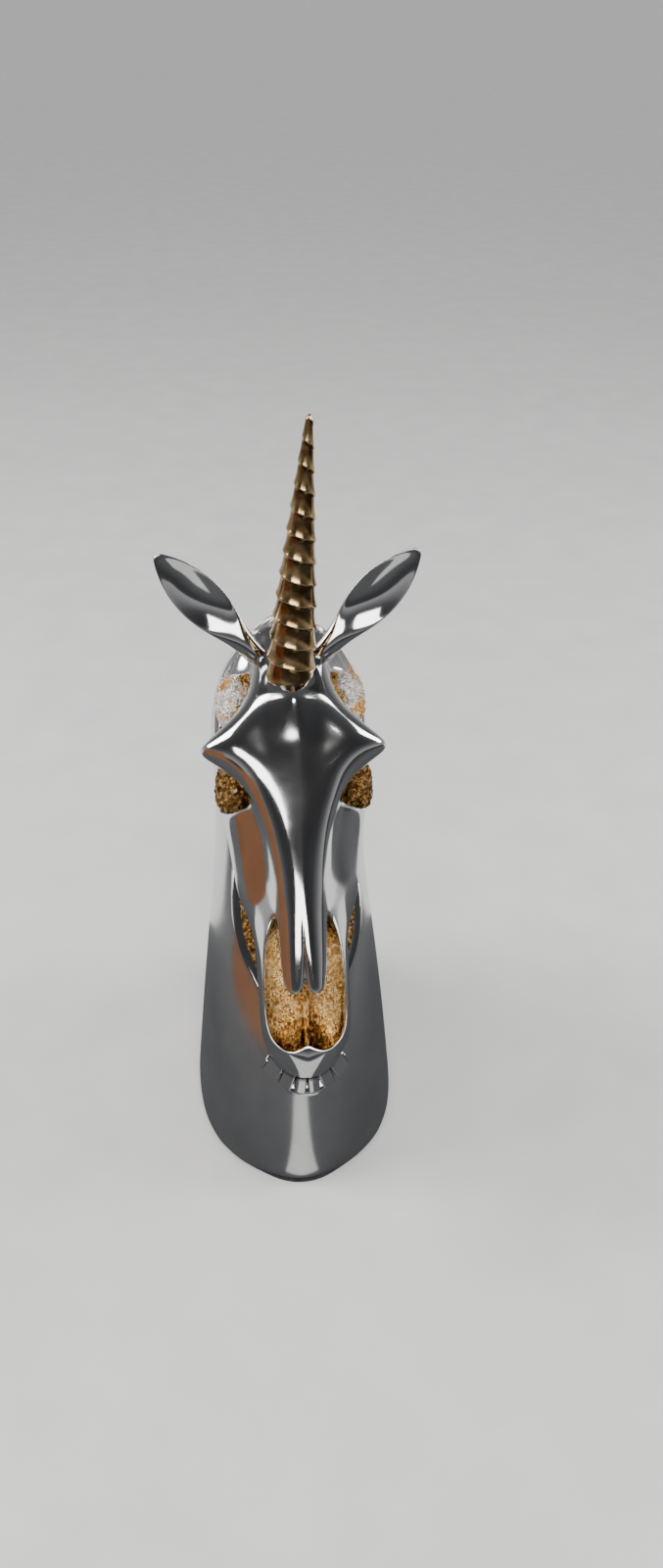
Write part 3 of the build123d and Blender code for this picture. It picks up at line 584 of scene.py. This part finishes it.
def gold_texture(name, stops, silver_from, stretch, grain, end_shade_bands=()):
    """Coarse gilding: painted glints on the grains, painted shade in brown gold between them, and silver
    where it is rubbed through. Stretch below 1 draws the grain out down the face, and more grain makes it
    finer.
    Across each band of painted shade, given as metres down the face from the horn, the gilding turns brown."""
    material, surface, place = new_material(name)
    drawn = place.add("Mapping", {}, {"Vector": place, "Scale": (1, stretch, stretch)})
    grains = place.add("TexVoronoi", {}, {"Vector": drawn, "Scale": 1300 * grain, "Randomness": 1.0})
    clumps = place.add("TexNoise", {}, {
        "Vector": drawn, "Scale": 600 * grain, "Detail": 8, "Roughness": 0.75})
    patches = place.add("TexNoise", {}, {"Vector": place, "Scale": 130, "Detail": 3})
    tone = clumps
    # Painted shade: the gilding turns brown towards each end of the nose lining.
    for first, last in end_shade_bands:
        dot_product = {"operation": "DOT_PRODUCT"}
        down = place.add("VectorMath", dot_product, {0: place, 1: tuple(FACE_AXIS)}, "Value")
        down = down - HORN_SEAT.dot(FACE_AXIS) + (patches - 0.5) * END_SHADE_RAGGED
        end_shade = place.add("MapRange", {}, {"Value": down, "From Min": first, "From Max": last})
        tone = tone - end_shade * END_SHADE_STRENGTH
    # The gold follows the grain heights, with painted glints on the tops and painted shade in the dips.
    gold = place.add("ValToRGB", {"stops": stops}, {"Fac": tone})
    rubbed = place.add("MapRange", {}, {
        "Value": patches, "From Min": silver_from, "From Max": silver_from + RUBBED_BLEND})
    colour = place.add("Mix", {"data_type": "RGBA"}, {"Factor": rubbed, 6: gold, 7: SILVER}, 2)
    bump = place.add("Bump", {}, {"Height": clumps + grains * 0.8, "Strength": 1.0, "Distance": 0.0009})
    roughness = 0.14 + clumps * 0.25
    place.fill(surface, {"Base Color": colour, "Metallic": 1.0, "Roughness": roughness, "Normal": bump})
    return material


nose_gold = gold_texture("nose_gold", CREAM_GLINT_STOPS, 0.8, 0.55, 1.7, END_SHADE_BANDS)
# The eye gold is darker all over: painted shade for the sunken sockets, and for the mouth core too.
eye_gold = gold_texture("eye_gold", SOCKET_SHADE_STOPS, 0.66, 1.0, 1.0)
temple_gold = gold_texture("temple_gold", BRIGHT_STOPS, 0.44, 1.0, 1.0)
crumble = bpy.data.textures.new("crumble", "CLOUDS")
crumble.noise_scale = GRAIN_SIZE
crumble.noise_depth = 3


def add_lumps(piece, height, mid_level):
    """Roughens a piece with crumbs of a height. At mid level 0.5 they go in and out alike."""
    apply_modifier(piece, "DISPLACE", texture=crumble, texture_coords="LOCAL", strength=height,
                   mid_level=mid_level)


def gilt_cushion(name, side, cushion, material, node):
    """A lumpy gilt cushion from a ball, on the left side at -1 and on the right at 1."""
    (across, along, above), size, facing, squareness, lumps = cushion
    bpy.ops.object.select_all(action="DESELECT")
    bpy.ops.mesh.primitive_ico_sphere_add(subdivisions=6, radius=1.0)
    piece = bpy.context.object
    piece.name = name
    middle = head_point(side * across, along, above)
    outward = FACE_NORMAL * cos(facing) + Vector((side, 0, 0)) * sin(facing)
    sideways = outward.cross(FACE_AXIS)
    width, length, height = (value * MILLIMETRE for value in size)
    for vertex in piece.data.vertices:
        full = vertex.co / sum(abs(value) ** squareness for value in vertex.co) ** (1 / squareness)
        spread = FACE_AXIS * full.x * length / 2 + sideways * full.y * width / 2
        vertex.co = middle + spread + outward * full.z * height
    add_lumps(piece, lumps, 0.5)
    bpy.ops.object.shade_smooth()
    dress(piece, material, "gold_texture", node)


for side, label in ((-1, "left"), (1, "right")):
    gilt_cushion("eye_gilt_" + label, side, EYE_CUSHION, eye_gold, "eye_inlay_" + label)
    gilt_cushion("temple_gilt_" + label, side, TEMPLE_CUSHION, temple_gold, "temple_inlay_" + label)
    gilt_cushion("nose_gilt_" + label, side, NOSE_CUSHION, nose_gold, "nasal_lining")
gilt_cushion("nose_septum", 1, SEPTUM_CUSHION, nose_gold, "nasal_lining")

# Mouth core: a block cast to fill the mouth between the jaws, gilded like the eye sockets, whose darker
# stops are painted shade.
# It is glued in the bite, and it shows as a rough gold line along each cheek.
CORE_ROWS = (
    (46, 19.0),
    (56, 21.0),
    (68, 22.6),
    (80, 23.2),
    (90, 22.6),
    (98, 20.8),
    (106, 17.4),
    (114, 13.4),
    (126, 9.6),
    (135, 7.5),
)
UPPER_BITE = (-24.2, 0.1477)
LOWER_BITE = (-34.0, 0.0875)
MUZZLE_END = 148
CORE_TOP_DROP = 0.8
CORE_BOTTOM_RISE = 0.2
core_rows = []
for along, edge in CORE_ROWS:
    top = UPPER_BITE[0] - UPPER_BITE[1] * (MUZZLE_END - along)
    bottom = LOWER_BITE[0] - LOWER_BITE[1] * (MUZZLE_END - along)
    half = [(0, top), (edge * 0.55, top), (edge * 0.9, top - CORE_TOP_DROP), (edge, (top + bottom) / 2)]
    half += [(edge * 0.9, bottom + CORE_BOTTOM_RISE), (edge * 0.5, bottom), (0, bottom)]
    ring = half + [(-x, v) for x, v in half[-2::-1]]
    core_rows.append([head_point(x, along, v) for x, v in ring])
core = skin("mouth_gilt", core_rows, closed=True)
subdivide(core, 4)
add_lumps(core, GRAIN_HEIGHT, 0.9)
# The eye gold gives the core painted shade between the jaws.
dress(core, eye_gold, "gold_texture", "mouth_core")

# Incisors: a short curved row of six teeth in each jaw, each tooth a small rounded wedge that is cast
# with the row and plated like the bone. Painted shade darkens the plating at the roots and in the narrow
# gaps.
TEETH_PER_ROW = 6
TOOTH_STEP = 4.3
TOOTH_ROW_REACH = TEETH_PER_ROW / 2 * TOOTH_STEP
TOOTH_HALF_SIZES = (2.1, 1.7, 3.4)
TOOTH_TIP_FLARE = 0.05
TOOTH_ROOT_THICKENING = 0.35
TOOTH_FAN_SHARE = 0.6
TOOTH_BEVEL = 0.0007
FLANK_SHADE_POWER = 1.4
ROOT_SHADE_SHARE = 0.9
# Each row is its jaw, millimetres down the face and above it, the depth of its curve and its lean.
TOOTH_ROWS = (
    ("upper", 146.4, -25.6, 9.5, 1.1),
    ("lower", 144.4, -33.0, 9.0, -0.6),
)


def tooth_plate():
    """The plating of the teeth, bright on their faces and darkened by painted shade where the gap value
    rises.
    """
    material, surface, place = new_material("tooth_plate")
    gap = place.add("Attribute", {"attribute_name": "gap"}, {}, "Fac")
    haze = place.add("TexNoise", {}, {"Vector": place, "Scale": 300, "Detail": 4})
    tones = ((0.25, (0.72, 0.72, 0.72, 1)), (0.7, (0.02, 0.02, 0.02, 1)))
    tint = place.add("ValToRGB", {"stops": tones}, {"Fac": gap + (haze - 0.5) * 0.3})
    place.fill(surface, {"Base Color": tint, "Metallic": 1.0, "Roughness": 0.06 + gap * 0.3})
    return material


tooth_finish = tooth_plate()
for label, front, level, curve, lean in TOOTH_ROWS:
    teeth = []
    half_length = TOOTH_HALF_SIZES[2]
    root_level = level + half_length if label == "upper" else level - half_length
    for number in range(TEETH_PER_ROW):
        across = (number - (TEETH_PER_ROW - 1) / 2) * TOOTH_STEP
        along = front - curve * (across / TOOTH_ROW_REACH) ** 2
        turn = -2 * curve * across / TOOTH_ROW_REACH ** 2
        bpy.ops.object.select_all(action="DESELECT")
        bpy.ops.mesh.primitive_cube_add(size=2)
        tooth = bpy.context.object
        for vertex in tooth.data.vertices:
            x, y, z = (value * half for value, half in zip(vertex.co, TOOTH_HALF_SIZES))
            reach = z if label == "upper" else -z
            x *= 1.0 - TOOTH_TIP_FLARE * reach / half_length
            y *= 1.0 + TOOTH_ROOT_THICKENING * reach / half_length
            ahead = y - lean * z
            aside = x - ahead * turn * TOOTH_FAN_SHARE
            vertex.co = head_point(across + aside, along + ahead + x * turn, level + z)
        # The head's axes are left-handed, so the cube has come out inside out.
        tooth.data.flip_normals()
        apply_modifier(tooth, "BEVEL", width=TOOTH_BEVEL, segments=2)
        subdivide(tooth, 2)
        sideways = (Vector((1, 0, 0)) + turn * FACE_AXIS).normalized()
        root = head_point(across, along, root_level)
        gap_shades = []
        # Painted shade: the gap value rises on the flanks that face the next tooth and towards the root.
        for vertex in tooth.data.vertices:
            flank = abs(vertex.normal.dot(sideways))
            depth = abs((vertex.co - root).dot(FACE_NORMAL)) / MILLIMETRE / half_length
            gap_shades.append(max(flank ** FLANK_SHADE_POWER, ROOT_SHADE_SHARE - depth))
        gap = tooth.data.attributes.new("gap", "FLOAT", "POINT")
        gap.data.foreach_set("value", gap_shades)
        teeth.append(tooth)
    for tooth in teeth:
        tooth.select_set(True)
    bpy.context.view_layer.objects.active = teeth[0]
    bpy.ops.object.join()
    teeth[0].name = "teeth_" + label
    dress(teeth[0], tooth_finish, "mirror_plate", label + "_incisors")

# Hidden fixings: a steel stud holds the horn, and steel dowels hold the ears, the head and the jaw.
# A moulded board is glued in the hollow foot to close it, and a thin sole of black rubber lies under it.


def plain_finish(name, low, high, metallic, roughness, scale):
    """A plain finish that varies a little between two colours."""
    material, surface, place = new_material(name)
    grain = place.add("TexNoise", {}, {"Vector": place, "Scale": scale, "Detail": 5})
    colour = place.add("ValToRGB", {"stops": ((0.35, low), (0.65, high))}, {"Fac": grain})
    bump = place.add("Bump", {}, {"Height": grain, "Strength": 0.2, "Distance": 0.0005})
    roughness = roughness + grain * 0.1
    place.fill(surface, {"Base Color": colour, "Metallic": metallic, "Roughness": roughness, "Normal": bump})
    return material


steel = plain_finish("pin_steel", (0.42, 0.42, 0.43, 1), (0.56, 0.56, 0.57, 1), 1.0, 0.3, 400)
board = plain_finish("base_board", (0.08, 0.08, 0.088, 1), (0.12, 0.12, 0.13, 1), 0.0, 0.6, 250)
rubber = plain_finish("sole_rubber", (0.015, 0.015, 0.016, 1), (0.03, 0.03, 0.032, 1), 0.0, 0.7, 600)
FIXINGS = (
    ("horn_stud", steel),
    ("ear_dowels", steel),
    ("neck_dowels", steel),
    ("jaw_dowels", steel),
    ("base_plate", board),
    ("rubber_sole", rubber),
)
for node, material in FIXINGS:
    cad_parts[node].data.materials.clear()
    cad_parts[node].data.materials.append(material)

# Studio: a wide floor of pale paper in a dim room, lit by soft boxes at both sides, a lamp and a strip
# above the face, and an even fill from overhead. Cards that the camera can't see lie and stand round
# the figurine for its plating to reflect, and the camera looks down on it from in front.
FLOOR_SIZE = 80.0
bpy.ops.object.select_all(action="DESELECT")
bpy.ops.mesh.primitive_plane_add(size=FLOOR_SIZE)
floor = bpy.context.object
floor.name = "studio_floor"
paper, surface, place = new_material("studio_paper")
mottle = place.add("TexNoise", {}, {"Vector": place, "Scale": 30, "Detail": 4})
paper_tones = ((0.3, (0.44, 0.44, 0.44, 1)), (0.7, (0.48, 0.48, 0.475, 1)))
tone = place.add("ValToRGB", {"stops": paper_tones}, {"Fac": mottle})
place.fill(surface, {"Base Color": tone, "Roughness": 0.7})
floor.data.materials.append(paper)

ROOM_STOPS = (
    (0.0, (0.42, 0.42, 0.42, 1)),
    (0.2, (0.30, 0.30, 0.305, 1)),
    (0.42, (0.12, 0.121, 0.124, 1)),
    (1.0, (0.10, 0.102, 0.106, 1)),
)
FRONT_STOPS = ((0.2, (0.36, 0.36, 0.365, 1)), (0.55, (1, 1, 1, 1)))
FRONT_RISE = (0.04, 0.26)
world = bpy.data.worlds.new("studio")
bpy.context.scene.world = world
world.use_nodes = True
sky = Shade(world.node_tree)
direction = sky.add("TexCoord", {}, {}, "Generated")
upward = sky.add("SeparateXYZ", {}, {"Vector": direction}, "Z")
backward = sky.add("SeparateXYZ", {}, {"Vector": direction}, "Y")
walls = sky.add("ValToRGB", {"stops": ROOM_STOPS}, {"Fac": upward})
front = sky.add("ValToRGB", {"stops": FRONT_STOPS}, {"Fac": backward * 0.5 + 0.5})
above = sky.add("MapRange", {}, {"Value": upward, "From Min": FRONT_RISE[0], "From Max": FRONT_RISE[1]})
multiply = {"data_type": "RGBA", "blend_type": "MULTIPLY"}
room = sky.add("Mix", multiply, {"Factor": above, 6: walls, 7: front}, 2)
sky.fill(world.node_tree.nodes["Background"], {"Color": room, "Strength": 1.0})

# Each card is its name, centre, width and length, turn about Y, the share of its width that is left
# at the edge with the larger Y, and its colour.
CARDS = (
    ("front_floor_card", (0, -18.9, 0.0008), (14.0, 38.0), 0, 1.0, (0.036, 0.039, 0.042)),
    ("keel_strip", (0.0, -0.27, 0.001), (0.20, 0.40), 0, 0.1, (0.36, 0.37, 0.355)),
    ("left_card", (-0.45, -0.22, 0.13), (0.26, 0.46), 90, 1.0, (0.20, 0.085, 0.035)),
)
CARD_WEAVE_SHARE = 0.8
for name, centre, (width, length), turn, taper_share, colour in CARDS:
    bpy.ops.object.select_all(action="DESELECT")
    bpy.ops.mesh.primitive_plane_add(size=1, location=centre, rotation=(0, radians(turn), 0))
    card = bpy.context.object
    card.name = name
    card.scale = (width, length, 1)
    for vertex in card.data.vertices:
        vertex.co.x *= taper_share if vertex.co.y > 0 else 1
    felt, surface, place = new_material(name)
    weave = place.add("TexNoise", {}, {"Vector": place, "Scale": 8, "Detail": 3})
    dark = tuple(value * CARD_WEAVE_SHARE for value in colour)
    tone = place.add("ValToRGB", {"stops": ((0.3, dark + (1,)), (0.7, colour + (1,)))}, {"Fac": weave})
    place.fill(surface, {"Base Color": tone, "Roughness": 0.9})
    card.data.materials.append(felt)
    card.visible_camera = False
    card.visible_diffuse = False
    card.visible_shadow = False

LIGHTS = (
    ("left_box", (-0.85, 0.15, 0.85), (0.5, 0.7), 16, (1.0, 0.98, 0.95)),
    ("right_box", (0.9, 0.1, 0.7), (0.4, 0.7), 10, (1.0, 0.98, 0.96)),
    ("ceiling_lamp", (0.09, -0.53, 1.06), (0.14, 0.12), 3.0, (1.0, 0.97, 0.92)),
    ("front_strip", (-0.10, -0.705, 0.61), (0.66, 0.21), 3.3, (1.0, 0.98, 0.95)),
)
LIGHT_AIM = Vector((0, 0, 0.15))
for name, place, (width, height), power, colour in LIGHTS:
    light = bpy.data.lights.new(name, "AREA")
    light.shape = "RECTANGLE"
    light.size = width
    light.size_y = height
    light.energy = power
    light.color = colour
    lamp = bpy.data.objects.new(name, light)
    lamp.location = place
    lamp.rotation_euler = (LIGHT_AIM - lamp.location).to_track_quat("-Z", "Y").to_euler()
    bpy.context.collection.objects.link(lamp)

FILL_STRENGTH = 3.1
FILL_SPREAD = radians(170)
FILL_PLACE = (0, 0, 4.5)
fill_light = bpy.data.lights.new("ceiling_fill", "SUN")
fill_light.energy = FILL_STRENGTH
fill_light.angle = FILL_SPREAD
ceiling_fill = bpy.data.objects.new("ceiling_fill", fill_light)
ceiling_fill.location = FILL_PLACE
ceiling_fill.visible_glossy = False
bpy.context.collection.objects.link(ceiling_fill)

CAMERA_PLACE = (-0.0207, -0.368, 0.4164)
CAMERA_PITCH = radians(90 - 35.17)
CAMERA_YAW = radians(-5.61)
CAMERA_ROLL = radians(1.02)
CAMERA_LENS = 26.83
CAMERA_SENSOR = 36
CAMERA_NEAR = 0.01
camera_data = bpy.data.cameras.new("camera")
camera_data.lens = CAMERA_LENS
camera_data.sensor_width = CAMERA_SENSOR
camera_data.clip_start = CAMERA_NEAR
camera = bpy.data.objects.new("camera", camera_data)
camera.location = CAMERA_PLACE
aim = Euler((CAMERA_PITCH, 0, CAMERA_YAW)).to_matrix() @ Euler((0, 0, CAMERA_ROLL)).to_matrix()
camera.rotation_euler = aim.to_euler()
bpy.context.collection.objects.link(camera)
bpy.context.scene.camera = camera
